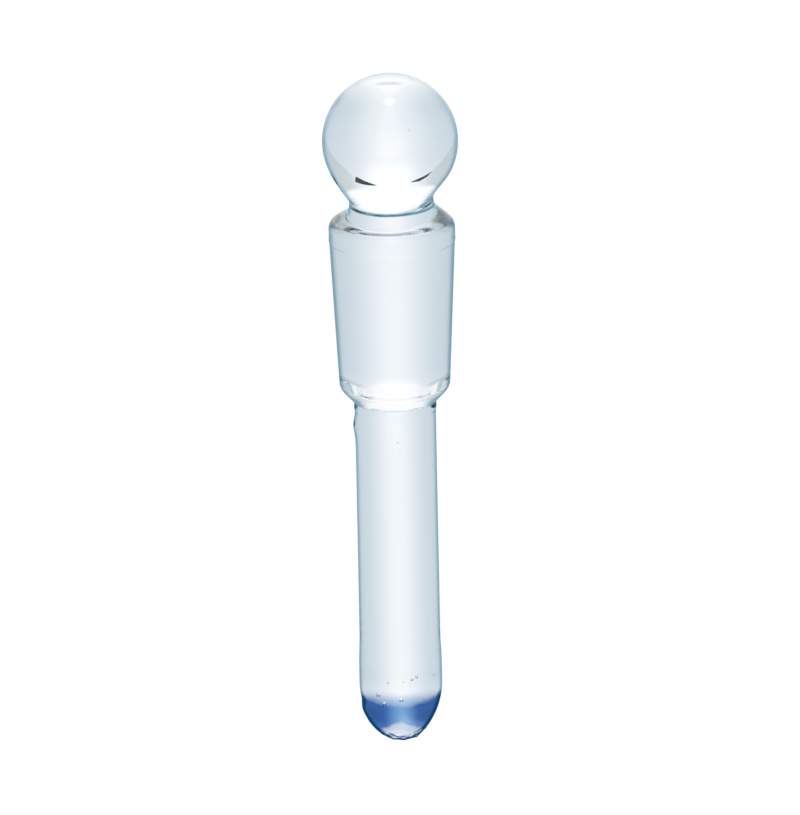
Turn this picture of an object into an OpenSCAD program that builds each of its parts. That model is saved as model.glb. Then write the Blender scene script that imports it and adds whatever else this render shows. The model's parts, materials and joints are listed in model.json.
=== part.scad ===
// Laboratory glass stopper: a solid ball handle, a ground 24/29 joint and a long
// glass finger that ends in blue glass. It is one fused piece of solid glass.
// The outline is drawn as [radius, height], with the tip at height 0 and the ball
// on top. The finished stopper is then laid on its side, as it rests on a bench:
// the ball and the end of the finger touch the surface, and the joint is clear.

/* [Ball handle] */
// Diameter of the ball
ball_d = 26; // [18:0.1:40]
// Slope of the ball's drawn tail above the neck, measured from the axis, in degrees
tail_slope = 36; // [30:1:42]

/* [Neck] */
// Diameter of the neck at its waist
neck_d = 16.1; // [8:0.1:20]
// Height of the waist over the top of the shoulder
neck_l = 2.45; // [1.2:0.05:10]
// Hollow radius of the waist
neck_round = 1.8; // [0.8:0.1:4]
// Slope at which the neck widens down to the shoulder, measured from the axis, in degrees
neck_flare = 14; // [2:1:25]
// Hollow radius from the neck onto the shoulder
neck_foot = 1.6; // [0.3:0.1:3]

/* [Shoulder] */
// How far the shoulder stands proud of the ground joint
shoulder_proud = 0.1; // [0.05:0.05:0.6]
// Height of the shoulder's side over the ground joint
shoulder_l = 3.65; // [1.5:0.05:12]
// Slope of the shoulder's top, measured from flat, in degrees
shoulder_slope = 30; // [5:1:45]
// Rounding of the shoulder's edge
shoulder_round = 1.9; // [0.5:0.1:3]

/* [Ground joint] */
// Diameter at the large end of the ground joint
joint_d = 24; // [19:0.1:40]
// Length of the ground joint
joint_l = 29; // [15:0.5:50]
// Length over which the joint's diameter shrinks by 1 mm
joint_taper = 10; // [7:0.5:20]

/* [Foot of the joint] */
// Slope of the foot, measured from the axis, in degrees
foot_slope = 43; // [25:1:70]
// Rounding between the joint and its foot
foot_round = 3; // [0.2:0.1:4]
// How far the bead at the root of the finger stands proud of it
bead_proud = 0.25; // [0.05:0.05:0.6]
// Height of the bead
bead_l = 1.8; // [1.4:0.1:4]

/* [Finger] */
// Diameter of the finger
finger_d = 15.5; // [12.5:0.1:20.5]
// Straight length of the finger
finger_l = 45.3; // [10:0.1:150]
// How far the worked end stands proud of the finger
end_proud = 0.2; // [0:0.05:0.6]
// Length over which the finger widens to its worked end
swell_l = 4.6; // [1:0.1:15]
// Straight length of the worked end
end_l = 4.2; // [1:0.1:15]

/* [Tip] */
// Length of the rounded tip
tip_l = 11.8; // [9.5:0.1:20]
// Radius of the tip's nose
nose_round = 5.9; // [3:0.1:7.5]
// Length of blue glass at the tip
blue_l = 7.7; // [4:0.1:11]

/* [Hidden] */
$fn = 180;
// Largest turn between two neighbouring points of a round stretch, in degrees
arc_step = 3;
// How far the tail's outline runs on inside the ball
ball_bury = 0.02;
// Largest share of a straight stretch that the rounding at one end of it takes
round_share = 0.45;

ball_r = ball_d / 2;
neck_r = neck_d / 2;
joint_r = joint_d / 2;
shoulder_r = joint_r + shoulder_proud;
finger_r = finger_d / 2;
bead_r = finger_r + bead_proud;
end_r = finger_r + end_proud;
joint_small_r = joint_r - joint_l / (2 * joint_taper);

// Tip: the nose and the side are two arcs that run smoothly into each other
side_round = (end_r * end_r + tip_l * tip_l - 2 * tip_l * nose_round) / (2 * (end_r - nose_round));
side_centre = [end_r - side_round, tip_l];
nose_centre = [0, nose_round];
nose_turn = atan2(tip_l - nose_round, side_round - end_r);
blue_turn = asin((tip_l - blue_l) / side_round);

// Heights along the axis, each stacked on the one before
swell_h = tip_l + end_l;
finger_h = swell_h + swell_l;
bead_h = finger_h + finger_l;
foot_h = bead_h + bead_l;
joint_h = foot_h + (joint_small_r - finger_r) / tan(foot_slope);
shoulder_h = joint_h + joint_l;
side_h = shoulder_h + shoulder_l;

// Neck: its hollow waist runs out into a flare below and into the ball's tail above
waist_centre_r = neck_r + neck_round;
flare_r = waist_centre_r - neck_round * cos(neck_flare);
crest_r = flare_r + (neck_l - neck_round * sin(neck_flare)) * tan(neck_flare);
crest_h = side_h + (shoulder_r - crest_r) * tan(shoulder_slope);
waist_h = crest_h + neck_l;

// Ball: its tail is a cone that touches both the ball and the hollow of the waist
tail_r = ball_r - ball_bury;
ball_h = waist_h + (tail_r + neck_round - waist_centre_r * cos(tail_slope)) / sin(tail_slope);

// Corners of the outline round the shoulder, each on the way from the one before
step_low = [joint_r, shoulder_h];
step_high = [shoulder_r, shoulder_h + shoulder_proud];
side_top = [shoulder_r, side_h];
crest = [crest_r, crest_h];
flare_top = [flare_r, waist_h - neck_round * sin(neck_flare)];

// Rounding between the foot and the joint, limited by the length of the slope
joint_slope = atan(1 / (2 * joint_taper));
foot_bend = tan((foot_slope - joint_slope) / 2);
foot_l = (joint_small_r - finger_r) / sin(foot_slope);
foot_edge = min(foot_round, foot_l / foot_bend);
foot_centre = [joint_small_r, joint_h]
    + foot_edge * foot_bend * [sin(joint_slope), cos(joint_slope)]
    - foot_edge * [cos(joint_slope), -sin(joint_slope)];

// Bead: a shallow arc that stands proud of the finger
bead_round = (bead_l * bead_l / 4 + bead_proud * bead_proud) / (2 * bead_proud);
bead_centre = [bead_r - bead_round, bead_h + bead_l / 2];
bead_turn = asin(bead_l / 2 / bead_round);

// Tilt at which one flat surface touches the side of the tip and a rounded spot
function rest_on(centre, radius) =
    let (reach = centre - side_centre)
    atan2(reach[0], reach[1]) - asin((side_round - radius) / norm(reach));

// Rest: on the tip, and on the ball or the shoulder, whichever reaches lower
rest_tilt = max(rest_on([0, ball_h], ball_r), rest_on(step_high, 0));
rest_lift = side_round + side_centre[0] * cos(rest_tilt) - side_centre[1] * sin(rest_tilt);
rest_mid = ((ball_h + nose_round) * cos(rest_tilt) + ball_r - nose_round) / 2;

// Points of a round stretch. Directions are in degrees: 0 is outwards, 90 is up.
function arc(centre, radius, start, end) =
    let (steps = ceil(abs(end - start) / arc_step))
    [for (i = [0 : steps])
        let (turn = start + (end - start) * i / steps)
        centre + radius * [cos(turn), sin(turn)]];

// Round stretch in place of corner b between the straight stretches a-b and b-c
function rounded(a, b, c, radius) =
    let (come = (b - a) / norm(b - a), go = (c - b) / norm(c - b))
    let (turn = atan2(come[0] * go[1] - come[1] * go[0], come * go))
    let (bend = tan(abs(turn) / 2))
    let (r = min(radius, round_share * min(norm(b - a), norm(c - b)) / bend))
    let (inwards = sign(turn) * [-come[1], come[0]])
    let (start = atan2(-inwards[1], -inwards[0]))
    arc(b - r * bend * come + r * inwards, r, start, start + turn);

function tip_outline() = concat(
    arc(nose_centre, nose_round, -90, -nose_turn),
    arc(side_centre, side_round, -nose_turn, -blue_turn),
    [[0, blue_l]]);

function stem_outline() = concat(
    [[0, blue_l]],
    arc(side_centre, side_round, -blue_turn, 0),
    [[end_r, swell_h], [finger_r, finger_h]],
    arc(bead_centre, bead_round, -bead_turn, bead_turn),
    arc(foot_centre, foot_edge, -foot_slope, -joint_slope),
    [step_low, step_high],
    rounded(step_high, side_top, crest, shoulder_round),
    rounded(side_top, crest, flare_top, neck_foot),
    arc([waist_centre_r, waist_h], neck_round, 180 + neck_flare, 180 - tail_slope),
    [[tail_r * cos(tail_slope), ball_h - tail_r * sin(tail_slope)], [0, ball_h]]);

// Blue glass at the end of the finger
module blue_tip() {
    color("royalblue", 0.6)
        rotate_extrude()
            polygon(tip_outline());
}

// Clear glass from the finger up to the ball's tail
module stem() {
    color("lightsteelblue", 0.4)
        rotate_extrude()
            polygon(stem_outline());
}

// Solid ball that the hand takes
module ball() {
    color("lightsteelblue", 0.4)
        translate([0, 0, ball_h])
            sphere(r = ball_r);
}

// The whole stopper lying on its side, with its tip towards -Y
module stopper() {
    translate([0, -rest_mid, rest_lift])
        rotate([rest_tilt - 90, 0, 0])
            union() {
                blue_tip();
                stem();
                ball();
            }
}

stopper();
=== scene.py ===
"""Glass stopper: a solid ball handle, a ground joint and a long glass finger with a blue tip.

The outline is drawn as (radius, height) with the tip at height 0, in metres. A lathe made
of geometry nodes turns it about its axis, and the finished glass is laid down on the
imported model's own axis, where it rests on the ball and the end of the finger.
"""

import json
from math import asin, atan, atan2, ceil, cos, degrees, hypot, radians, sin, tan

import bmesh
import bpy
from bpy.props import FloatProperty, FloatVectorProperty, IntProperty, PointerProperty
from mathutils import Matrix, Vector


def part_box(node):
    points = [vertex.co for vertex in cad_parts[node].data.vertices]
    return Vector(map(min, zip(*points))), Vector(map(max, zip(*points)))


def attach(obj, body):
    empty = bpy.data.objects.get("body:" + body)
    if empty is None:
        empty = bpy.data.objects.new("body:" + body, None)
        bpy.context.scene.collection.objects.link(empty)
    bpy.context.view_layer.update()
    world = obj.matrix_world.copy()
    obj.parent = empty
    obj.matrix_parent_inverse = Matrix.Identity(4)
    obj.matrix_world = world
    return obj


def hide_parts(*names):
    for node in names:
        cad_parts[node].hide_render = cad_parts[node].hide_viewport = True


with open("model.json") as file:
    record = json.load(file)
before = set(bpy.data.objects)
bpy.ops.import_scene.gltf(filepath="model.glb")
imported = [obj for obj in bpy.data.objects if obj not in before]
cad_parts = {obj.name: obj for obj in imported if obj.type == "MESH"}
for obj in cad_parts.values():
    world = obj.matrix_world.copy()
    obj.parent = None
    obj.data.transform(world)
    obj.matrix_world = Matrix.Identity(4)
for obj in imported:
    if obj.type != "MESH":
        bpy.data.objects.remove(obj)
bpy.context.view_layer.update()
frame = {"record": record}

bl_info = {
    "name": "Glass stopper",
    "version": (1, 0, 0),
    "blender": (4, 5, 0),
    "location": "3D View > Sidebar > Stopper",
    "description": "Turns a solid glass stopper with a ground joint and a blue tip",
    "category": "Object",
}

NODE = "stopper"
LOW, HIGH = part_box(NODE)
BALL_R = (HIGH.z - LOW.z) / 2
BALL_CENTRE = Vector(((LOW.x + HIGH.x) / 2, HIGH.y - BALL_R, HIGH.z - BALL_R))
JOINT_MOUNT = next(m for m in frame["record"]["mounts"] if m["name"] == "ground_joint")
AXIS = -Vector(JOINT_MOUNT["axis"]).normalized()
TILT = atan2(AXIS.z, AXIS.y)

# The camera's height over the stopper's side
CAMERA_HIGH = radians(16.8)
# How far the camera is from the stopper
CAMERA_AWAY = 6.0
# How far the stopper leans in the camera's picture
CAMERA_LEAN = radians(1.15)
# How tall the camera's picture is, at the stopper
PICTURE_HEIGHT = 0.1553
# How far left of the picture's middle the ball is, and how far over it
BALL_LEFT = 0.0019
BALL_UP = 0.0508

# How far the middle of the dark room turns from straight overhead towards the ball
DARK_TURN = radians(-20)
# Half the dark room's width, and the width of its soft edge
DARK_HALF = radians(22)
DARK_EDGE = radians(14)

# How far from the ball the dark cards are, under the stopper
CARD_AWAY = 0.15
# Corners of each dark card, as (turn, rise) in degrees from the ball
CARDS = {
    "dark_card_right": [(7.8, 7.5), (15.3, 7.2), (21.8, 5.9), (23.8, 10.6), (17.9, 9.4)],
    "dark_card_left": [(-11.5, 7.5), (-17.0, 6.9), (-27.5, 5.8), (-23.5, 8.5), (-18.0, 9.2)],
}

# How far the floor reaches from the middle, and how far it lies under the stopper
FLOOR_HALF = 3.0
FLOOR_DROP = 2e-5

# Stops of the white tent's walls from straight behind the glass to its sides, as screen colours
WALLS = [
    (0.0, (252, 254, 255)),
    (0.07, (247, 251, 255)),
    (0.17, (234, 240, 245)),
    (0.28, (220, 229, 236)),
    (0.39, (212, 223, 231)),
    (0.55, (209, 220, 229)),
    (0.68, (202, 215, 225)),
    (0.8, (190, 207, 218)),
]
# Places in the tent are bearings to the left and right, and heights towards the ball, in
# degrees. Of each pair, the first is where something starts and the second where it is full
# Heights over which the walls' brightness widens, and the share that bearings shrink to
WALLS_WIDEN = (-5.0, 14.0)
WALLS_SHRINK = 0.6
# The bright middle: its bearings, its heights, and the heights where it is greyer, with its share
MIDDLE = (22.0, 3.0)
MIDDLE_WHITE = (-8.0, 6.0)
MIDDLE_GREY = (-4.0, -30.0)
MIDDLE_GREY_SHARE = 0.4
# Heights over which the tent turns white towards the tip
TIP_WHITE = (-34.0, -74.0)
# The grey seam past the tip: its height, its distance from there, its bearings and its share
SEAM = -63.5
SEAM_HALF = (5.0, 0.5)
SEAM_WIDE = (30.0, 8.0)
SEAM_SHARE = 0.8
# The white top past the ball: its height, how that grows with the bearing, and half its edge
TOP = 11.5
TOP_CURVE = 0.0085
TOP_EDGE = 2.5
# The fold under it: its height at one bearing, its slope, half its edge, its bearings, its share
FOLD = 10.5
FOLD_BEARING = 20
FOLD_SLOPE = 0.4
FOLD_EDGE = 1.5
FOLD_WIDE = (18.0, 34.0)
FOLD_SHARE = 0.8
# Heights over which the tent opens onto the dark, straight past the ball
OPEN_END = (66.0, 74.0)
# How steep a way is over which the low light band starts and is full, as a share of upright
LOW_BAND = (0.42, 0.14)
# Heights and bearings over which the mirrored room turns bright past the ball
MIRROR_HEIGHTS = (-15.0, -4.0)
MIRROR_BEARINGS = (32.0, 12.0)
# Which way the soft lamp is, and how far from its middle its light ends and is full
LAMP = (0.0, 0.995, 0.1)
LAMP_EDGE = radians(11)
LAMP_FULL = radians(3)

# How often light may bounce on its way. Long paths inside the finger would else end black
GLASS_BOUNCES = 64
MIRROR_BOUNCES = 12

# Largest turn between two points of a round stretch: of the tip and the ball, and elsewhere
FINE_STEP = radians(1.5)
ARC_STEP = radians(3)
# Largest share of a straight stretch that the rounding at one end of it takes
ROUND_SHARE = 0.45
# Longest straight stretch of the outline without a point in it
STRAIGHT = 0.0006
# How many times rounder than other creases the two ends of the swell are
SOFT_CREASE = 6
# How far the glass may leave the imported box, and how far it may fall short of it
BOX_OVER = 1e-4
BOX_SHORT = 1e-3

# How fast the hand-worked swells change round the glass and, by the metre, along it
SWELLS_ROUND = 0.6
SWELLS_ALONG = 110
# Length over which the swells fade out at the ends of the ground joint
SWELL_FADE = 0.001
# Radius within which the swells fade out towards the tip's and the ball's ends
SWELL_CALM = 0.004
# Half the length of the lump, and how far under the bead it sits
LUMP_L = 0.0020
LUMP_DROP = 0.003
# How close together the pucker's dents are
DENTS = 650
# Heights over the tip, and radii, from where the pucker starts to where it is full
PUCKER_HEIGHTS = (0.0035, 0.0002)
PUCKER_RADII = (0.0002, 0.0016)
# Heights from where the fuller cheek starts to where it is full, from above and from below
CHEEK_ABOVE = (0.0088, 0.006)
CHEEK_BELOW = (0.0, 0.004)
# How many times its width a bubble is long, at most
BUBBLE_STRETCH = 1.8

# How far under the neck's foot its lean starts
LEAN_UNDER = 0.002
# How far over the waist its lean ends, and how far over it the lean is full
LEAN_OVER = 0.007
LEAN_FULL = 0.001
# How much stronger the lean is at the front of the neck's foot than at the waist
LEAN_FOOT = 1.35
# How far over the waist, and over the neck's foot, the lean at the back changes its way
LEAN_BACK_HIGH = 0.0005
LEAN_BACK_LOW = 0.0003

# How strongly the glass bends light
GLASS_IOR = 1.5
# Polished glass at the ground joint's foot and at its top, and the soft edge of the grind
POLISHED_FOOT = 0.0034
POLISHED_TOP = 0.0021
GRIND_EDGE = 0.0004
# How much higher the blue glass runs at the sides and at the front, for each metre off the axis
BLUE_SIDES = 0.2
BLUE_FRONT = 0.05
# Distance from the axis over which the blue is painted darker towards the left and right sides, as
# painted shade
BLUE_SHADE_REACH = 0.0034
# Steps of the painted glint that makes the blue paler towards the very tip, over its length: where
# each starts, where it is full, and its share
GLINT_UPPER = (0.0006, -0.0004, 0.5)
GLINT_LOWER = (-0.0016, -0.0024, 0.4)
# How much lower each step runs at the sides, for each metre off the axis
GLINT_UPPER_SIDES = 0.6
GLINT_LOWER_SIDES = 0.2
# Heights over the tip from where blotches of blue start to break up the painted glint to where they
# are full, and their share there
GLINT_BLOTCHED = (0.0026, 0.0012)
GLINT_BLOTCHED_SHARE = 0.75
# How uneven the blue's edge is, in lengths of its fade, and how uneven the painted glint's steps are
BLUE_UNEVEN = 1.5
GLINT_UNEVEN = 0.003
# Bubbles are left clear inside these radii, and above these heights over the tip
BUBBLES_WITHIN = (0.0060, 0.0066)
BUBBLES_OVER = (0.0078, 0.0070)
# How edge-on the glass is seen where its painted rim shade starts and where it is full, clear and
# blue
RIM_CLEAR = (0.6, 0.8)
RIM_BLUE = (0.52, 0.66)
# Heights over the ball's middle over which the painted rim shade fades, and what is left of it at
# the top, where the light falls
RIM_FADES = (0.008, 0.0125)
RIM_LEFT = 0.2
# Half the width of the painted dark line and of its stroke at the waist: where it starts and where
# it is full
LINE_HALF = (0.00040, 0.00015)
STROKE_HALF = (0.00050, 0.00020)
# How far behind the axis the painted dark line starts and where it is full. Less than 0 is the front
WAIST_SHADE_FRONT = (0.0, -0.0012)
# How far under the waist the painted dark line runs round the front
WAIST_SHADE_DROP = 0.0007
# How far over the waist the painted dark stroke is, how far right of the axis, and how it slopes
STROKE_UP = 0.00045
STROKE_RIGHT = 0.0053
STROKE_SLOPE = 0.27


# ---------------------------------------------------------------- sizes and colours


def length(name, description, default, least=0.0, most=0.2):
    """A length in metres that the sidebar shows."""
    return FloatProperty(
        name=name, description=description, default=default, min=least, max=most,
        unit="LENGTH", precision=5,
    )


def angle(name, description, default):
    """An angle that the sidebar shows, given here in degrees."""
    return FloatProperty(
        name=name, description=description, default=radians(default), unit="ROTATION",
        min=0.0, max=radians(80),
    )


def colour(name, description, default):
    """A colour that the sidebar shows, as linear red, green and blue."""
    return FloatVectorProperty(
        name=name, description=description, default=default, min=0.0, max=1.0,
        size=3, subtype="COLOR",
    )


def share(name, description, default, most=1.0):
    """A plain number from nothing to most."""
    return FloatProperty(name=name, description=description, default=default, min=0.0, max=most)


class StopperShape(bpy.types.PropertyGroup):
    """Sizes of the glass."""

    tail_slope: angle("Tail", "Slope of the ball's drawn tail, measured from the axis", 36)
    neck_d: length("Neck", "Diameter of the neck at its waist", 0.0161)
    neck_l: length("Neck height", "Height of the waist over the shoulder's top", 0.00206)
    neck_round: length("Waist", "Hollow radius of the waist", 0.0024)
    neck_flare: angle("Neck flare", "Slope at which the neck widens downwards", 8)
    neck_foot: length("Neck foot", "Hollow radius from the neck onto the shoulder", 0.0016)
    shoulder_proud: length("Shoulder step", "How far the shoulder stands proud of the joint", 0.0001)
    shoulder_l: length("Shoulder", "Height of the shoulder's side over the joint", 0.00365)
    shoulder_slope: angle("Shoulder slope", "Slope of the shoulder's top, measured from flat", 30)
    shoulder_round: length("Shoulder edge", "Rounding of the shoulder's edge", 0.0019)
    joint_d: length("Joint", "Diameter at the large end of the ground joint", 0.024)
    joint_l: length("Joint length", "Length of the ground joint", 0.029)
    joint_taper: share("Joint taper", "Length over which the diameter shrinks by one", 10.0, 50.0)
    foot_slope: angle("Foot slope", "Slope of the foot, measured from the axis", 43)
    foot_round: length("Foot edge", "Rounding between the joint and its foot", 0.003)
    bead_proud: length("Bead", "How far the bead stands proud of the finger", 0.00015)
    bead_l: length("Bead height", "Height of the bead at the root of the finger", 0.0018)
    finger_d: length("Finger", "Diameter of the finger", 0.0155)
    finger_l: length("Finger length", "Straight length of the finger", 0.0453)
    end_proud: length("Worked end", "How far the worked end stands proud of the finger", 0.0002)
    swell_l: length("Swell", "Length over which the finger widens to its worked end", 0.0046)
    end_l: length("End length", "Straight length of the worked end", 0.0042)
    tip_l: length("Tip", "Length of the rounded tip", 0.0118)
    nose_round: length("Nose", "Radius of the tip's nose", 0.0059)
    crease: length("Fire polish", "Rounding that the flame leaves on each crease", 0.0003)
    wave: length("Hand work", "How deep the hand-worked waviness goes", 0.00005)
    lump: length("Lump", "How far the lump at the root of the finger stands proud", 0.0004)
    lean_right: share("Neck lean right", "How much higher the neck's groove is on its right", 0.058)
    lean_front: share("Neck lean front", "How much lower the neck's groove is at its front", 0.13)
    lean_back: share("Neck lean back", "How much higher the neck's foot is at its back", 0.05)
    lean_tail: share("Tail lean", "How much lower the ball's tail is at its back", 0.08)
    pucker: length("Pucker", "How deep the pucker at the very tip goes", 0.0016)
    cheek: length("Cheek", "How much fuller the tip is on its left", 0.00055)
    segments: IntProperty(
        name="Segments", description="Faces round the axis", default=160, min=24, max=320,
    )
    seed: IntProperty(name="Seed", description="Pattern of the hand work", default=4, min=0)


class StopperGlass(bpy.types.PropertyGroup):
    """Colours and finish of the glass, with painted shade and a painted glint among the colours."""

    clear: colour("Clear glass", "Tint at the surface of the clear glass", (1.0, 1.0, 1.0))
    deep: colour("Deep glass", "Tint that a long way through clear glass takes on", (0.2, 0.5, 0.59))
    depth: share("Depth", "How fast the deep tint grows, by the metre", 3.0, 100.0)
    # Partly the glass's depth, partly painted shade: the darker rim tint painted where the glass is
    # seen edge-on
    rim_depth_and_shade: colour("Rim", "Tint where the glass is seen edge-on", (0.14, 0.32, 0.42))
    blue: colour("Blue glass", "Tint of the glass at the tip", (0.155, 0.34, 0.63))
    # Painted shade: the darker blue painted towards the tip's left and right sides
    blue_side_shade: colour("Blue side", "Tint of the tip where it turns away", (0.012, 0.06, 0.32))
    # Painted shade: the dark tint of the line painted round the front of the waist
    waist_line_shade: colour("Seal", "Tint of the line where the ball was sealed on", (0.04, 0.2, 0.29))
    # Painted shade, partly the blue glass's depth: the dark navy tint painted where the tip is seen
    # edge-on
    blue_rim_depth_and_shade: colour("Blue rim", "Tint of the tip where it is seen edge-on", (0.003, 0.06, 0.18))
    blue_l: length("Blue length", "Length of blue glass at the tip", 0.0084)
    blue_fade: length("Blue fade", "Length over which the blue glass fades out", 0.0008)
    # Painted highlight: length of the painted glint that makes the blue paler at the very tip
    glint_l: length("Nose length", "Length of paler glass at the very tip", 0.0056)
    grind: share("Grind", "Roughness of the ground joint", 0.12)


class StopperStage(bpy.types.PropertyGroup):
    """The floor that the stopper lies on."""

    shadow: share("Shadow", "How strongly the floor shows the shadow", 0.12)


# ---------------------------------------------------------------- nodes as expressions


class Wire:
    """One output of a node. Python's operators on it add Math nodes."""

    def __init__(self, nodes, socket):
        self.nodes = nodes
        self.socket = socket

    def maths(self, operation, *values):
        return self.nodes.add("ShaderNodeMath", {"operation": operation}, *values)

    def __add__(self, other):
        return self.maths("ADD", self, other)

    def __sub__(self, other):
        return self.maths("SUBTRACT", self, other)

    def __mul__(self, other):
        return self.maths("MULTIPLY", self, other)

    def __truediv__(self, other):
        return self.maths("DIVIDE", self, other)

    def __radd__(self, other):
        return self.maths("ADD", other, self)

    def __rsub__(self, other):
        return self.maths("SUBTRACT", other, self)

    def __rmul__(self, other):
        return self.maths("MULTIPLY", other, self)

    def __rtruediv__(self, other):
        return self.maths("DIVIDE", other, self)

    def __abs__(self):
        return self.maths("ABSOLUTE", self)


class Nodes:
    """A node tree that is written one call to a node."""

    def __init__(self, tree):
        self.tree = tree
        tree.nodes.clear()

    def add(self, kind, settings=None, *values, out=0, **named):
        """Adds a node. Its settings go first, then its inputs in order or by name."""
        node = self.tree.nodes.new(kind)
        for name, value in (settings or {}).items():
            if name == "stops":
                self.set_stops(node.color_ramp, value)
            else:
                setattr(node, name, value)
        for key, value in [*enumerate(values), *named.items()]:
            name = key.replace("_", " ") if isinstance(key, str) else key
            self.feed(self.find(node.inputs, name), value)
        return Wire(self, self.find(node.outputs, out)) if node.outputs else node

    @staticmethod
    def find(sockets, key):
        """A socket by place, or the one in use of that name."""
        if isinstance(key, int):
            return sockets[key]
        found = [s for s in sockets if s.name == key and s.enabled]
        if not found:
            raise KeyError(f"there is no socket named {key}")
        return found[0]

    @staticmethod
    def set_stops(ramp, stops):
        """Places a colour ramp's stops, given as (position, colour)."""
        while len(ramp.elements) < len(stops):
            ramp.elements.new(1.0)
        for element, (position, value) in zip(ramp.elements, stops):
            element.position = position
            element.color = (*value, 1.0)

    def feed(self, socket, value):
        if isinstance(value, Wire):
            self.tree.links.new(value.socket, socket)
        elif value is not None:
            socket.default_value = value

    def other(self, wire, name):
        """Another output of the node that wire comes from."""
        return Wire(self, self.find(wire.socket.node.outputs, name))

    def ramp(self, value, low, high, start=0.0, end=1.0):
        """A smooth rise from start to end while value goes from low to high."""
        return self.add(
            "ShaderNodeMapRange", {"interpolation_type": "SMOOTHSTEP"}, value, low, high, start, end
        )

    def mix(self, share_of_second, first, second, blend="MIX"):
        """A mix of two colours."""
        return self.add(
            "ShaderNodeMix", {"data_type": "RGBA", "blend_type": blend},
            Factor=share_of_second, A=tint(first), B=tint(second), out="Result",
        )

    def greater(self, a, b):
        return self.add("ShaderNodeMath", {"operation": "MAXIMUM"}, a, b)


def tint(value):
    """A colour with the alpha that a colour socket wants. A wire passes through."""
    return value if isinstance(value, Wire) else (*value, 1.0)


# ---------------------------------------------------------------- outline


def arc(centre, radius, start, end, step=ARC_STEP):
    """Points of a round stretch. Directions are in radians: 0 is outwards, a right angle is up."""
    steps = max(1, ceil(abs(end - start) / step))
    turns = [start + (end - start) * i / steps for i in range(steps + 1)]
    return [(centre[0] + radius * cos(t), centre[1] + radius * sin(t)) for t in turns]


def rounded(before, corner, after, radius):
    """The round stretch in place of a corner between two straight stretches."""
    b, c, a = Vector(before), Vector(corner), Vector(after)
    come, go = (c - b).normalized(), (a - c).normalized()
    turn = atan2(come.x * go.y - come.y * go.x, come.dot(go))
    bend = tan(abs(turn) / 2)
    radius = min(radius, ROUND_SHARE * min((c - b).length, (a - c).length) / bend)
    inwards = Vector((-come.y, come.x)) * (1 if turn > 0 else -1)
    centre = c - radius * bend * come + radius * inwards
    start = atan2(-inwards.y, -inwards.x)
    return arc(centre, radius, start, start + turn)


def eased(before, corner, after, radius, steps=6):
    """The rounding that a flame leaves on one corner between two straight stretches."""
    b, c, a = Vector(before), Vector(corner), Vector(after)
    reach_b, reach_a = b - c, a - c
    cut = min(radius, ROUND_SHARE * reach_b.length, ROUND_SHARE * reach_a.length)
    start, end = c + reach_b.normalized() * cut, c + reach_a.normalized() * cut
    points = []
    for i in range(steps + 1):
        t = i / steps
        points.append(tuple((1 - t) ** 2 * start + 2 * t * (1 - t) * c + t**2 * end))
    return points


def stretched(points, longest):
    """The same outline with extra points on its long straight stretches."""
    filled = [points[0]]
    for a, b in zip(points, points[1:]):
        pieces = max(1, ceil(hypot(b[0] - a[0], b[1] - a[1]) / longest))
        filled += [
            (a[0] + (b[0] - a[0]) * i / pieces, a[1] + (b[1] - a[1]) * i / pieces)
            for i in range(1, pieces + 1)
        ]
    return filled


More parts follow.
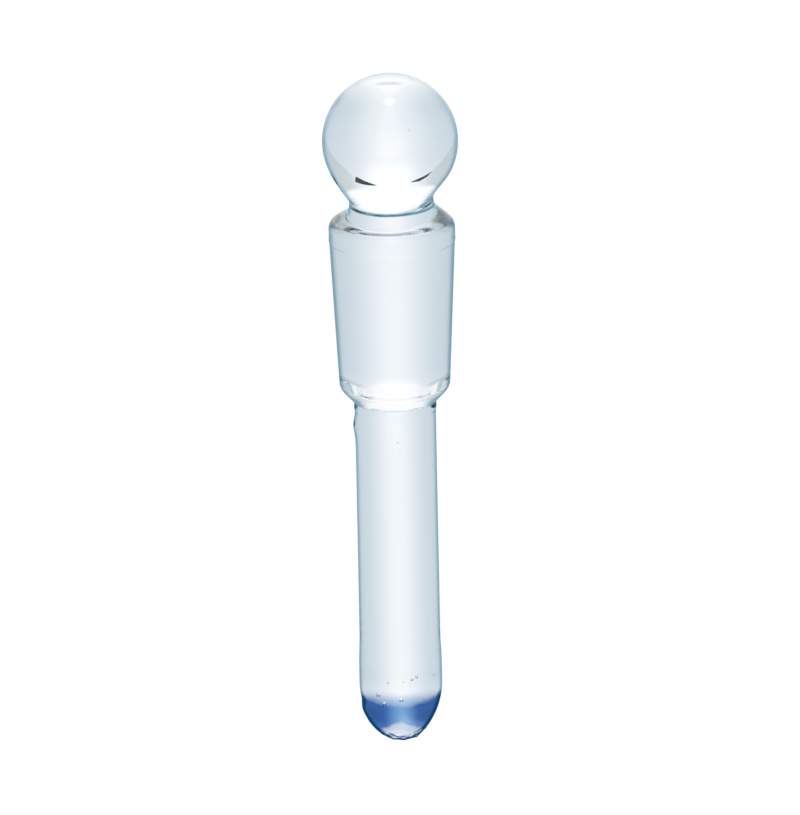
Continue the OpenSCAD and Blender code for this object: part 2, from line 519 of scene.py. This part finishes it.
class Outline:
    """The stopper's outline and the heights that its finish needs."""

    def __init__(self, s):
        ball_r, neck_r, joint_r = BALL_R, s.neck_d / 2, s.joint_d / 2
        shoulder_r = joint_r + s.shoulder_proud
        finger_r = s.finger_d / 2
        end_r = finger_r + s.end_proud
        joint_small_r = joint_r - s.joint_l / (2 * s.joint_taper)

        # Tip: the nose and the side are two arcs that run smoothly into each other
        side_reach = end_r**2 + s.tip_l**2 - 2 * s.tip_l * s.nose_round
        side_round = side_reach / (2 * (end_r - s.nose_round))
        side_centre = (end_r - side_round, s.tip_l)
        nose_turn = atan2(s.tip_l - s.nose_round, side_round - end_r)

        # Heights along the axis, each stacked on the one before
        swell_h = s.tip_l + s.end_l
        finger_h = swell_h + s.swell_l
        bead_h = finger_h + s.finger_l
        foot_h = bead_h + s.bead_l
        joint_h = foot_h + (joint_small_r - finger_r) / tan(s.foot_slope)
        shoulder_h = joint_h + s.joint_l
        side_h = shoulder_h + s.shoulder_l

        # Neck: its hollow waist runs out into a flare below and into the ball's tail above
        waist_r = neck_r + s.neck_round
        flare_r = waist_r - s.neck_round * cos(s.neck_flare)
        crest_r = flare_r + (s.neck_l - s.neck_round * sin(s.neck_flare)) * tan(s.neck_flare)
        crest_h = side_h + (shoulder_r - crest_r) * tan(s.shoulder_slope)
        waist_h = crest_h + s.neck_l

        # Ball: its tail is a cone that touches both the ball and the hollow of the waist
        reach = ball_r + s.neck_round - waist_r * cos(s.tail_slope)
        ball_h = waist_h + reach / sin(s.tail_slope)

        # Rounding between the foot and the joint
        joint_slope = atan(1 / (2 * s.joint_taper))
        bend = s.foot_round * tan((s.foot_slope - joint_slope) / 2)
        foot_centre = (
            joint_small_r + bend * sin(joint_slope) - s.foot_round * cos(joint_slope),
            joint_h + bend * cos(joint_slope) + s.foot_round * sin(joint_slope),
        )

        # Bead: a shallow arc that stands proud of the finger
        bead_arc = (s.bead_l**2 / 4 + s.bead_proud**2) / (2 * s.bead_proud)
        bead_turn = asin(s.bead_l / 2 / bead_arc)
        bead = arc(
            (finger_r + s.bead_proud - bead_arc, bead_h + s.bead_l / 2),
            bead_arc, -bead_turn, bead_turn, bead_turn / 8,
        )
        foot = arc(foot_centre, s.foot_round, -s.foot_slope, -joint_slope)
        joint_top, shoulder_low = (joint_r, shoulder_h), (shoulder_r, shoulder_h + s.shoulder_proud)
        side_top, crest = (shoulder_r, side_h), (crest_r, crest_h)
        edge = rounded(shoulder_low, side_top, crest, s.shoulder_round)
        flare_top = (flare_r, waist_h - s.neck_round * sin(s.neck_flare))
        hollow = rounded(side_top, crest, flare_top, s.neck_foot)
        half_turn = radians(180)
        neck = arc(
            (waist_r, waist_h), s.neck_round, half_turn + s.neck_flare, half_turn - s.tail_slope,
        )

        soft = SOFT_CREASE * s.crease
        points = arc((0, s.nose_round), s.nose_round, radians(-90), -nose_turn, FINE_STEP)
        points += arc(side_centre, side_round, -nose_turn, 0, FINE_STEP)
        points += eased(points[-1], (end_r, swell_h), (finger_r, finger_h), soft)
        points += eased((end_r, swell_h), (finger_r, finger_h), bead[0], soft)
        points += eased((finger_r, finger_h), bead[0], bead[1], s.crease)
        points += bead[1:-1]
        points += eased(bead[-2], bead[-1], foot[0], s.crease)
        points += foot
        points += eased(foot[-1], joint_top, shoulder_low, s.crease)
        points += eased(joint_top, shoulder_low, edge[0], s.crease)
        points += edge + hollow + neck
        points += arc((0, ball_h), ball_r, -s.tail_slope, radians(90), FINE_STEP)
        self.points = stretched(without_doubles(points), STRAIGHT)
        self.ball_h = ball_h
        self.waist_h = waist_h
        self.crest_h = crest_h
        self.joint_h = joint_h
        self.shoulder_h = shoulder_h
        self.bead_h = bead_h


def without_doubles(points, least=2e-5):
    """The outline without points that lie on the one before."""
    kept = [points[0]]
    for point in points[1:]:
        if hypot(point[0] - kept[-1][0], point[1] - kept[-1][1]) > least:
            kept.append(point)
    return [(abs(r) if abs(r) > 1e-7 else 0.0, h) for r, h in kept]


# ---------------------------------------------------------------- glass


def group(name, sockets):
    """A geometry node tree with these named inputs and one geometry output."""
    tree = bpy.data.node_groups.new(name, "GeometryNodeTree")
    for title, kind in sockets:
        tree.interface.new_socket(title, in_out="INPUT", socket_type=kind)
    tree.interface.new_socket("Geometry", in_out="OUTPUT", socket_type="NodeSocketGeometry")
    return tree


def lathe():
    """Turns a chain of points about the Z axis into closed glass, with its hand-worked waviness."""
    tree = group("Glass lathe", [
        ("Outline", "NodeSocketGeometry"),
        ("Segments", "NodeSocketInt"),
        ("Wave Depth", "NodeSocketFloat"),
        ("Wave Seed", "NodeSocketFloat"),
        ("Ground Low", "NodeSocketFloat"),
        ("Ground High", "NodeSocketFloat"),
        ("Lump Height", "NodeSocketFloat"),
        ("Lump Proud", "NodeSocketFloat"),
        ("Pucker Depth", "NodeSocketFloat"),
        ("Cheek", "NodeSocketFloat"),
        ("Neck Low", "NodeSocketFloat"),
        ("Neck High", "NodeSocketFloat"),
        ("Lean Right", "NodeSocketFloat"),
        ("Lean Front", "NodeSocketFloat"),
        ("Lean Back", "NodeSocketFloat"),
        ("Lean Tail", "NodeSocketFloat"),
        ("Material", "NodeSocketMaterial"),
    ])
    n = Nodes(tree)
    given = n.add("NodeGroupInput", out="Outline")

    def value(name):
        return n.other(given, name)

    # Sheet: one row for each point of the outline, bent round the axis
    rows = n.add("GeometryNodeAttributeDomainSize", None, given, out="Point Count")
    columns = value("Segments") + 1
    sheet = n.add("GeometryNodeMeshGrid", None, 1.0, 1.0, columns, rows)
    index = n.add("GeometryNodeInputIndex")
    row = index.maths("MODULO", index, rows)
    turn = (index - row) / rows * (radians(360) / value("Segments"))
    spot = n.add(
        "GeometryNodeSampleIndex", {"data_type": "FLOAT_VECTOR"},
        given, n.add("GeometryNodeInputPosition"), row,
    )
    axes = n.add("ShaderNodeSeparateXYZ", None, spot)
    radius, height = axes, n.other(axes, "Z")
    across, along = turn.maths("COSINE", turn), turn.maths("SINE", turn)

    # Waviness: slow swells all over the fire-polished glass, none on the ground joint
    place = n.add(
        "ShaderNodeCombineXYZ", None,
        across * SWELLS_ROUND, along * SWELLS_ROUND, height * SWELLS_ALONG,
    )
    swell = n.add(
        "ShaderNodeTexNoise", {"noise_dimensions": "4D"},
        Vector=place, W=value("Wave Seed"), Scale=1.0, Detail=1.5, Roughness=0.45,
    )
    low, high = value("Ground Low"), value("Ground High")
    ground = n.ramp(height, low - SWELL_FADE, low + SWELL_FADE)
    ground = ground * n.ramp(height, high + SWELL_FADE, high - SWELL_FADE)
    close = n.ramp(radius, 0.0, SWELL_CALM)
    inward = swell * value("Wave Depth") * (1 - ground) * close

    # Lump: one low bump on the left of the finger's root
    rise = (height - value("Lump Height")) / LUMP_L
    facing = (1 - across) * 0.5
    outward = value("Lump Proud") * facing / (rise * rise * rise * rise + rise * rise + 1.0)

    # Pucker: a few dents where the blue glass was pulled off
    dent = n.add(
        "ShaderNodeTexNoise", {"noise_dimensions": "4D"},
        Vector=n.add("ShaderNodeCombineXYZ", None, across * radius, along * radius, height),
        W=value("Wave Seed"), Scale=DENTS, Detail=1.0,
    )
    pucker = (dent - 0.5) * value("Pucker Depth")
    pucker = pucker * n.ramp(height, *PUCKER_HEIGHTS) * n.ramp(radius, *PUCKER_RADII)

    # Cheek: the drawn-off tip is a little fuller on its left
    cheek = facing * facing * value("Cheek")
    cheek = cheek * n.ramp(height, *CHEEK_ABOVE) * n.ramp(height, *CHEEK_BELOW)

    # Lean: the neck's groove isn't quite level, because the ball was sealed on by hand
    neck_low, neck_high = value("Neck Low"), value("Neck High")
    neck = n.ramp(height, neck_low - LEAN_UNDER, neck_low)
    neck = neck * n.ramp(height, neck_high + LEAN_OVER, neck_high + LEAN_FULL)
    front = along * (1 - along) * 0.5 * n.ramp(height, neck_high, neck_low, 1.0, LEAN_FOOT)
    back = along * (1 + along) * 0.5
    foot = n.ramp(height, neck_high + LEAN_BACK_HIGH, neck_low + LEAN_BACK_LOW)
    tail = back * (foot * (value("Lean Back") + value("Lean Tail")) - value("Lean Tail"))
    lean = across * value("Lean Right") + front * value("Lean Front") + tail
    lean = lean * radius * neck

    radius = radius - inward + outward + cheek - pucker
    shaped = n.add(
        "GeometryNodeSetPosition", None, sheet,
        Position=n.add("ShaderNodeCombineXYZ", None, radius * across, radius * along, height + lean),
    )
    closed = n.add("GeometryNodeMergeByDistance", None, shaped, Distance=1e-6)
    smooth = n.add("GeometryNodeSetShadeSmooth", None, closed)
    real = n.add("GeometryNodeRealizeInstances", None, smooth)
    finished = n.add("GeometryNodeSetMaterial", None, real, Material=value("Material"))
    n.add("NodeGroupOutput", None, finished)
    return tree


def seeder():
    """Puts a small bubble at each point. Its faces point into the bubble, away from the glass."""
    tree = group("Bubbles in glass", [
        ("Points", "NodeSocketGeometry"),
        ("Stretch", "NodeSocketFloat"),
        ("Seed", "NodeSocketInt"),
        ("Material", "NodeSocketMaterial"),
    ])
    n = Nodes(tree)
    given = n.add("NodeGroupInput", out="Points")
    size = n.add("GeometryNodeInputNamedAttribute", {"data_type": "FLOAT"}, "size")
    long = n.add(
        "FunctionNodeRandomValue", {"data_type": "FLOAT"},
        Min=1.0, Max=n.other(given, "Stretch"), Seed=n.other(given, "Seed"), out="Value",
    )
    ball = n.add("GeometryNodeMeshIcoSphere", None, 1.0, 3)
    placed = n.add(
        "GeometryNodeInstanceOnPoints", None, given, Instance=ball,
        Scale=n.add("ShaderNodeCombineXYZ", None, size, size, size * long),
    )
    real = n.add("GeometryNodeRealizeInstances", None, placed)
    turned = n.add("GeometryNodeFlipFaces", None, real)
    smooth = n.add("GeometryNodeSetShadeSmooth", None, turned)
    finished = n.add("GeometryNodeSetMaterial", None, smooth, Material=n.other(given, "Material"))
    n.add("NodeGroupOutput", None, finished)
    return tree


def grown(name, source, tree, inputs):
    """The plain mesh that a geometry node tree makes from a source mesh."""
    made = bpy.data.objects.new(name, source)
    bpy.context.scene.collection.objects.link(made)
    modifier = made.modifiers.new(tree.name, "NODES")
    modifier.node_group = tree
    for item in tree.interface.items_tree:
        if item.item_type == "SOCKET" and item.in_out == "INPUT" and item.name in inputs:
            modifier[item.identifier] = inputs[item.name]
    whole = made.evaluated_get(bpy.context.evaluated_depsgraph_get())
    mesh = bpy.data.meshes.new_from_object(whole)
    bpy.data.objects.remove(made)
    bpy.data.meshes.remove(source)
    bpy.data.node_groups.remove(tree)
    return mesh


def chain(points):
    """A mesh that holds an outline's points in order."""
    mesh = bpy.data.meshes.new("outline")
    edges = [(i, i + 1) for i in range(len(points) - 1)]
    mesh.from_pydata([(r, 0.0, h) for r, h in points], edges, [])
    return mesh


def bubbles():
    """A mesh of points where the glass holds seeds: (right, towards the eye, height, radius)."""
    spots = [
        (0.0031, 0.0050, 0.1226, 0.00022),
        (0.0002, 0.0052, 0.0612, 0.00016),
        (-0.0022, 0.0046, 0.0131, 0.00020),
        (0.0019, 0.0056, 0.0138, 0.00030),
        (0.0027, 0.0052, 0.0142, 0.00024),
        (0.0004, 0.0050, 0.0132, 0.00014),
        (0.0056, 0.0030, 0.0138, 0.00018),
        (-0.0038, 0.0040, 0.0104, 0.00034),
        (-0.0027, 0.0036, 0.0086, 0.00034),
        (0.0000, 0.0040, 0.0095, 0.00030),
    ]
    mesh = bpy.data.meshes.new("seeds")
    mesh.from_pydata([(x, -y, h) for x, y, h, _ in spots], [], [])
    size = mesh.attributes.new("size", "FLOAT", "POINT")
    size.data.foreach_set("value", [spot[3] for spot in spots])
    return mesh


def lay_down(outline):
    """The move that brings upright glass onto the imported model's axis."""
    foot = BALL_CENTRE - AXIS * outline.ball_h
    return Matrix.Translation(foot) @ Matrix.Rotation(TILT - radians(90), 4, "X")


def glass_material(glass, outline):
    """Clear glass with a fine-ground joint, blue at the tip, with painted shade at its edges, the
    tip's sides and the waist, and a painted glint at the very tip.
    """
    material = bpy.data.materials.new("stopper_glass")
    material.use_nodes = True
    n = Nodes(material.node_tree)
    laid = lay_down(outline)
    spot = n.add(
        "ShaderNodeMapping", {"vector_type": "TEXTURE"},
        n.add("ShaderNodeTexCoord", out="Object"),
        Location=laid.translation, Rotation=laid.to_euler(),
    )
    axes = n.add("ShaderNodeSeparateXYZ", None, spot)
    right, back, height = axes, n.other(axes, "Y"), n.other(axes, "Z")
    aside = abs(right)

    # Blue glass fades out over a short, slightly uneven length, higher at the sides
    uneven = n.add("ShaderNodeTexNoise", None, spot, Scale=260.0, Detail=2.0) - 0.5
    edge = height - aside * BLUE_SIDES + back * BLUE_FRONT + uneven * (BLUE_UNEVEN * glass.blue_fade)
    blue = n.ramp(edge, glass.blue_l + glass.blue_fade, glass.blue_l - glass.blue_fade)

    # Painted glint: the blue is painted paler in two steps towards the very tip as a painted
    # highlight, with blotches of blue left in it there
    drop = height + uneven * GLINT_UNEVEN
    painted_glint = 0.0
    for (start, full, part), sides in (GLINT_UPPER, GLINT_UPPER_SIDES), (GLINT_LOWER, GLINT_LOWER_SIDES):
        step = n.ramp(drop + aside * sides, glass.glint_l + start, glass.glint_l + full)
        painted_glint = step * part + painted_glint
    glint_blotch = n.add("ShaderNodeTexNoise", None, spot, Scale=620.0, Detail=1.0)
    glint_blotch = n.ramp(glint_blotch, 0.40, 0.56) * n.ramp(height, *GLINT_BLOTCHED)

    # Bubbles are as clear inside the blue glass as they are above it
    middle = n.add("ShaderNodeCombineXYZ", None, right, back, 0.0)
    middle = n.add("ShaderNodeVectorMath", {"operation": "LENGTH"}, middle, out="Value")
    blue = blue * n.greater(n.ramp(middle, *BUBBLES_WITHIN), n.ramp(height, *BUBBLES_OVER))

    # Glass seen edge-on is painted a darker rim tint: partly the deeper tint of its whole depth,
    # partly painted shade for its dark edge line, least at the ball's top where the light falls
    facing = n.add("ShaderNodeLayerWeight", None, Blend=0.5, out="Facing")
    over_ball = [outline.ball_h + rise for rise in RIM_FADES]
    edge_on = n.ramp(facing, *RIM_CLEAR) * n.ramp(height, *over_ball, 1.0, RIM_LEFT)
    clear = n.mix(edge_on, glass.clear, glass.rim_depth_and_shade)

    # Painted shade: a dark line painted round the front of the waist, and a short one that rises on
    # its right
    over_waist = height - outline.waist_h
    line = n.ramp(abs(over_waist + WAIST_SHADE_DROP), *LINE_HALF)
    slope = (right - STROKE_RIGHT) * STROKE_SLOPE
    stroke = n.ramp(abs(over_waist - STROKE_UP - slope), *STROKE_HALF)
    stroke = stroke * n.ramp(right, STROKE_RIGHT - 0.0007, STROKE_RIGHT + 0.0005)
    clear = n.mix(n.greater(line, stroke) * n.ramp(back, *WAIST_SHADE_FRONT), clear, glass.waist_line_shade)

    # Painted shade: the blue is painted darker towards the tip's left and right sides
    blue_glass = n.mix(n.ramp(aside, 0.0, BLUE_SHADE_REACH), glass.blue, glass.blue_side_shade)
    # Painted highlight: the blue turns paler towards the very tip, and blotches of blue break it up
    blue_glass = n.mix(painted_glint, blue_glass, glass.clear)
    blue_glass = n.mix(glint_blotch * GLINT_BLOTCHED_SHARE, blue_glass, glass.blue)
    body = n.mix(blue, clear, blue_glass)

    # Ground joint: fine grind with slow streaks, polished at both ends
    low, high = outline.joint_h + POLISHED_FOOT, outline.shoulder_h - POLISHED_TOP
    ground = n.ramp(height, low - GRIND_EDGE, low + GRIND_EDGE)
    ground = ground * n.ramp(height, high + GRIND_EDGE, high - GRIND_EDGE)
    grain = n.add("ShaderNodeTexNoise", None, spot, Scale=900.0, Detail=4.0)
    roughness = ground * (glass.grind * (0.8 + grain * 0.4))

    shader = n.add(
        "ShaderNodeBsdfPrincipled", None, Base_Color=body, Roughness=roughness,
        IOR=GLASS_IOR, Transmission_Weight=1.0,
    )
    # Painted shade: an opaque dark navy surface where the blue tip is seen edge-on, partly standing
    # for the blue glass's depth
    rim_depth_and_shade = n.add("ShaderNodeBsdfDiffuse", None, tint(glass.blue_rim_depth_and_shade))
    edge_on = blue * n.ramp(facing, *RIM_BLUE)
    shader = n.add("ShaderNodeMixShader", None, edge_on, shader, rim_depth_and_shade)
    depth = n.add("ShaderNodeVolumeAbsorption", None, Color=tint(glass.deep), Density=glass.depth)
    n.add("ShaderNodeOutputMaterial", None, shader, Volume=depth)
    return material


class STOPPER_OT_glass(bpy.types.Operator):
    """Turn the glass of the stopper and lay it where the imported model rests"""

    bl_idname = "stopper.glass"
    bl_label = "Turn the glass"

    def execute(self, context):
        shape = context.scene.stopper_shape
        outline = Outline(shape)
        material = glass_material(context.scene.stopper_glass, outline)
        glass = grown("turned", chain(outline.points), lathe(), {
            "Segments": shape.segments,
            "Wave Depth": shape.wave,
            "Wave Seed": float(shape.seed),
            "Ground Low": outline.joint_h,
            "Ground High": outline.shoulder_h,
            "Lump Height": outline.bead_h - LUMP_DROP,
            "Lump Proud": shape.lump,
            "Pucker Depth": shape.pucker,
            "Cheek": shape.cheek,
            "Neck Low": outline.crest_h,
            "Neck High": outline.waist_h,
            "Lean Right": shape.lean_right,
            "Lean Front": shape.lean_front,
            "Lean Back": shape.lean_back,
            "Lean Tail": shape.lean_tail,
            "Material": material,
        })
        seeds = grown("seeds", bubbles(), seeder(), {
            "Stretch": BUBBLE_STRETCH, "Seed": shape.seed, "Material": material,
        })
        mesh = joined("stopper_glass", [glass, seeds], material)
        mesh.transform(lay_down(outline))
        piece = bpy.data.objects.new("stopper_glass", mesh)
        context.scene.collection.objects.link(piece)
        fits(piece)
        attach(piece, "root")
        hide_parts(NODE)
        return {"FINISHED"}


def joined(name, meshes, material):
    """One mesh that holds several, all of one material."""
    whole = bmesh.new()
    for mesh in meshes:
        whole.from_mesh(mesh)
    made = bpy.data.meshes.new(name)
    whole.to_mesh(made)
    whole.free()
    made.materials.append(material)
    for face in made.polygons:
        face.material_index = 0
    for mesh in meshes:
        bpy.data.meshes.remove(mesh)
    return made


def fits(piece):
    """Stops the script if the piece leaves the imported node's box or falls far short of it."""
    corners = [Vector(corner) for corner in piece.bound_box]
    for axis in range(3):
        low, high = min(c[axis] for c in corners), max(c[axis] for c in corners)
        if low < LOW[axis] - BOX_OVER or high > HIGH[axis] + BOX_OVER:
            raise RuntimeError(f"{piece.name} leaves the packed box on axis {axis}: {low}, {high}")
        if low > LOW[axis] + BOX_SHORT or high < HIGH[axis] - BOX_SHORT:
            raise RuntimeError(f"{piece.name} falls short of the packed box on axis {axis}")


# ---------------------------------------------------------------- stage


def srgb(*values):
    """Linear colour of a screen colour from 0 to 255."""
    shares = [v / 255 for v in values]
    return [s / 12.92 if s <= 0.04045 else ((s + 0.055) / 1.055) ** 2.4 for s in shares]


def studio(scene):
    """White surroundings. Through glass they are a white tent round the stopper.

    The tent is bright straight behind the glass, soft grey-blue on its left and right, and
    white again past the ball and past the tip. Bearings are turned about the stopper's axis,
    from straight below or straight above it, and heights are towards the ball, all in degrees.
    """
    world = bpy.data.worlds.new("studio")
    scene.world = world
    world.use_nodes = True
    n = Nodes(world.node_tree)
    way = n.add("ShaderNodeTexCoord", out="Generated")
    over = Vector((0.0, -sin(TILT), cos(TILT)))
    dot = {"operation": "DOT_PRODUCT"}
    along = n.add("ShaderNodeVectorMath", dot, way, AXIS, out="Value")
    up = n.add("ShaderNodeVectorMath", dot, way, over, out="Value")
    axes = n.add("ShaderNodeSeparateXYZ", None, way)
    turn = axes.maths("ARCTAN2", axes, abs(up)) * degrees(1)
    aside = abs(turn)
    rise = along.maths("ARCSINE", along) * degrees(1)

    # Walls: bright in the middle, and the brightness widens a little towards the ball
    wide = aside * n.ramp(rise, *WALLS_WIDEN, 1.0, WALLS_SHRINK)
    stops = [(place, srgb(*value)) for place, value in WALLS]
    walls = n.add("ShaderNodeValToRGB", {"stops": stops}, wide / 90)
    middle = n.ramp(aside, *MIDDLE)
    white = [1.1, 1.1, 1.1]
    walls = n.mix(n.ramp(rise, *MIDDLE_WHITE) * middle, walls, white)
    grey = n.ramp(rise, *MIDDLE_GREY) * middle * MIDDLE_GREY_SHARE
    walls = n.mix(grey, walls, srgb(236, 241, 245))

    # Ends: the tent is white past the tip, with a faint grey seam, and past the ball
    seam = n.ramp(abs(rise - SEAM), *SEAM_HALF) * n.ramp(aside, *SEAM_WIDE)
    tent = n.mix(n.ramp(rise, *TIP_WHITE), walls, white)
    tent = n.mix(seam * SEAM_SHARE, tent, srgb(214, 219, 222))
    top = TOP + aside * aside * TOP_CURVE
    fold = FOLD - (aside - FOLD_BEARING) * FOLD_SLOPE
    above = n.ramp(rise - top, -TOP_EDGE, TOP_EDGE)
    wedge = n.ramp(rise - fold, -FOLD_EDGE, FOLD_EDGE) * n.ramp(aside, *FOLD_WIDE) * (1 - above)
    folded = n.mix(1.0, tent, (0.76, 0.77, 0.75), "MULTIPLY")
    tent = n.mix(wedge * FOLD_SHARE, tent, folded)
    tent = n.mix(above, tent, [1.06, 1.06, 1.06])

    # Straight along the stopper, past the ball, the tent is open and dark
    tent = n.mix(n.ramp(rise, *OPEN_END), tent, srgb(16, 60, 78))

    # Low all round, the tent is plain and light, so that glass looks clear from the side
    level = abs(n.other(axes, "Z"))
    tent = n.mix(n.ramp(level, *LOW_BAND), tent, srgb(244, 249, 252))

    # Dark room behind the camera
    dark = Vector((0.0, sin(DARK_TURN), cos(DARK_TURN)))
    towards = n.add("ShaderNodeVectorMath", dot, way, dark, out="Value")
    inside = n.ramp(towards, cos(DARK_HALF + DARK_EDGE), cos(DARK_HALF))
    tent = n.mix(inside, tent, srgb(164, 190, 192))

    # Clear glass is a little deep, so the tent is a little brighter than it looks through it
    tent = n.mix(1.0, tent, (1.04, 1.025, 1.02), "MULTIPLY")

    # What the outside of the glass mirrors: a dim room, bright past the ball
    bright = n.ramp(rise, *MIRROR_HEIGHTS) * n.ramp(aside, *MIRROR_BEARINGS)
    room = n.mix(bright, srgb(128, 164, 184), white)

    # One soft lamp that the outside mirrors, past the ball and a little over it
    shine = n.add("ShaderNodeVectorMath", dot, way, Vector(LAMP).normalized(), out="Value")
    room = n.mix(n.ramp(shine, cos(LAMP_EDGE), cos(LAMP_FULL)), room, [3.0, 3.0, 3.0])

    path = n.add("ShaderNodeLightPath", out="Is Glossy Ray")
    through = n.other(path, "Is Transmission Ray")
    seen = n.mix(path, (1.0, 1.0, 1.0), room)
    n.add("ShaderNodeOutputWorld", None, n.add(
        "ShaderNodeBackground", None, n.mix(through, seen, tent), 1.0,
    ))


def floor(shadow):
    """A plain white floor that the glass doesn't see. It keeps a soft shadow."""
    material = bpy.data.materials.new("white_floor")
    material.use_nodes = True
    n = Nodes(material.node_tree)
    lit = n.add("ShaderNodeBsdfDiffuse", None, tint((1.0, 1.0, 1.0)))
    plain = n.add("ShaderNodeEmission", None, tint((1.0, 1.0, 1.0)), 1.05)
    path = n.add("ShaderNodeLightPath", out="Is Camera Ray")
    n.add("ShaderNodeOutputMaterial", None, n.add(
        "ShaderNodeMixShader", None, path * (1 - shadow), lit, plain,
    ))
    mesh = bpy.data.meshes.new("floor")
    corners = [(-1, -1), (1, -1), (1, 1), (-1, 1)]
    places = [(x * FLOOR_HALF, y * FLOOR_HALF, -FLOOR_DROP) for x, y in corners]
    mesh.from_pydata(places, [], [(0, 1, 2, 3)])
    mesh.materials.append(material)
    made = bpy.data.objects.new("floor", mesh)
    made.visible_transmission = False
    made.visible_glossy = False
    bpy.context.scene.collection.objects.link(made)


def card(name, corners):
    """A small dark card far under the stopper, which only the glass sees.

    Its corners are given as (turn, rise) in degrees, as the ball sees them.
    """
    ahead = Vector((0.0, sin(TILT), -cos(TILT)))
    side = Vector((1.0, 0.0, 0.0))
    places = [
        BALL_CENTRE + CARD_AWAY * (ahead + AXIS * tan(radians(rise)) + side * tan(radians(turn)))
        for turn, rise in corners
    ]
    mesh = bpy.data.meshes.new(name)
    mesh.from_pydata(places, [], [tuple(range(len(places)))])
    material = bpy.data.materials.new(name)
    material.use_nodes = True
    n = Nodes(material.node_tree)
    glow = n.add("ShaderNodeEmission", None, tint(srgb(4, 32, 44)), 1.0)
    n.add("ShaderNodeOutputMaterial", None, glow)
    mesh.materials.append(material)
    made = bpy.data.objects.new(name, mesh)
    made.visible_camera = False
    made.visible_diffuse = False
    made.visible_glossy = False
    made.visible_shadow = False
    bpy.context.scene.collection.objects.link(made)


def camera(scene):
    """Looks down on the stopper from the ball's side, from so far off that nothing tapers."""
    data = bpy.data.cameras.new("camera")
    data.sensor_width = 36.0
    data.lens = data.sensor_width * CAMERA_AWAY / PICTURE_HEIGHT
    data.clip_start, data.clip_end = 0.1, 2 * CAMERA_AWAY
    high = CAMERA_HIGH - TILT
    back = Vector((0.0, sin(high), cos(high)))
    up = Vector((0.0, cos(high), -sin(high)))
    right = Vector((1.0, 0.0, 0.0))
    level = Matrix((right, up, back)).transposed()
    turned = level @ Matrix.Rotation(-CAMERA_LEAN, 3, "Z")
    middle = BALL_CENTRE + turned @ Vector((BALL_LEFT, -BALL_UP, CAMERA_AWAY))
    made = bpy.data.objects.new("camera", data)
    made.matrix_world = Matrix.Translation(middle) @ turned.to_4x4()
    scene.collection.objects.link(made)
    scene.camera = made


class STOPPER_OT_stage(bpy.types.Operator):
    """Set the floor, the light and the camera"""

    bl_idname = "stopper.stage"
    bl_label = "Set the stage"

    def execute(self, context):
        scene = context.scene
        studio(scene)
        floor(scene.stopper_stage.shadow)
        for name, corners in CARDS.items():
            card(name, corners)
        camera(scene)
        scene.view_settings.view_transform = "Standard"
        scene.cycles.max_bounces = GLASS_BOUNCES
        scene.cycles.transmission_bounces = GLASS_BOUNCES
        scene.cycles.glossy_bounces = MIRROR_BOUNCES
        return {"FINISHED"}


# ---------------------------------------------------------------- sidebar


class STOPPER_PT_sidebar(bpy.types.Panel):
    """Sizes, colours and steps of the stopper"""

    bl_label = "Glass stopper"
    bl_idname = "STOPPER_PT_sidebar"
    bl_space_type = "VIEW_3D"
    bl_region_type = "UI"
    bl_category = "Stopper"

    def draw(self, context):
        for settings in (
            context.scene.stopper_shape, context.scene.stopper_glass, context.scene.stopper_stage,
        ):
            box = self.layout.box()
            for name in settings.__annotations__:
                box.prop(settings, name)
        self.layout.operator(STOPPER_OT_glass.bl_idname)
        self.layout.operator(STOPPER_OT_stage.bl_idname)


CLASSES = (
    StopperShape, StopperGlass, StopperStage, STOPPER_OT_glass, STOPPER_OT_stage, STOPPER_PT_sidebar,
)


def register():
    for cls in CLASSES:
        bpy.utils.register_class(cls)
    bpy.types.Scene.stopper_shape = PointerProperty(type=StopperShape)
    bpy.types.Scene.stopper_glass = PointerProperty(type=StopperGlass)
    bpy.types.Scene.stopper_stage = PointerProperty(type=StopperStage)


def unregister():
    del bpy.types.Scene.stopper_stage
    del bpy.types.Scene.stopper_glass
    del bpy.types.Scene.stopper_shape
    for cls in reversed(CLASSES):
        bpy.utils.unregister_class(cls)


def main():
    register()
    bpy.ops.stopper.glass()
    bpy.ops.stopper.stage()


if __name__ == "__main__":
    main()
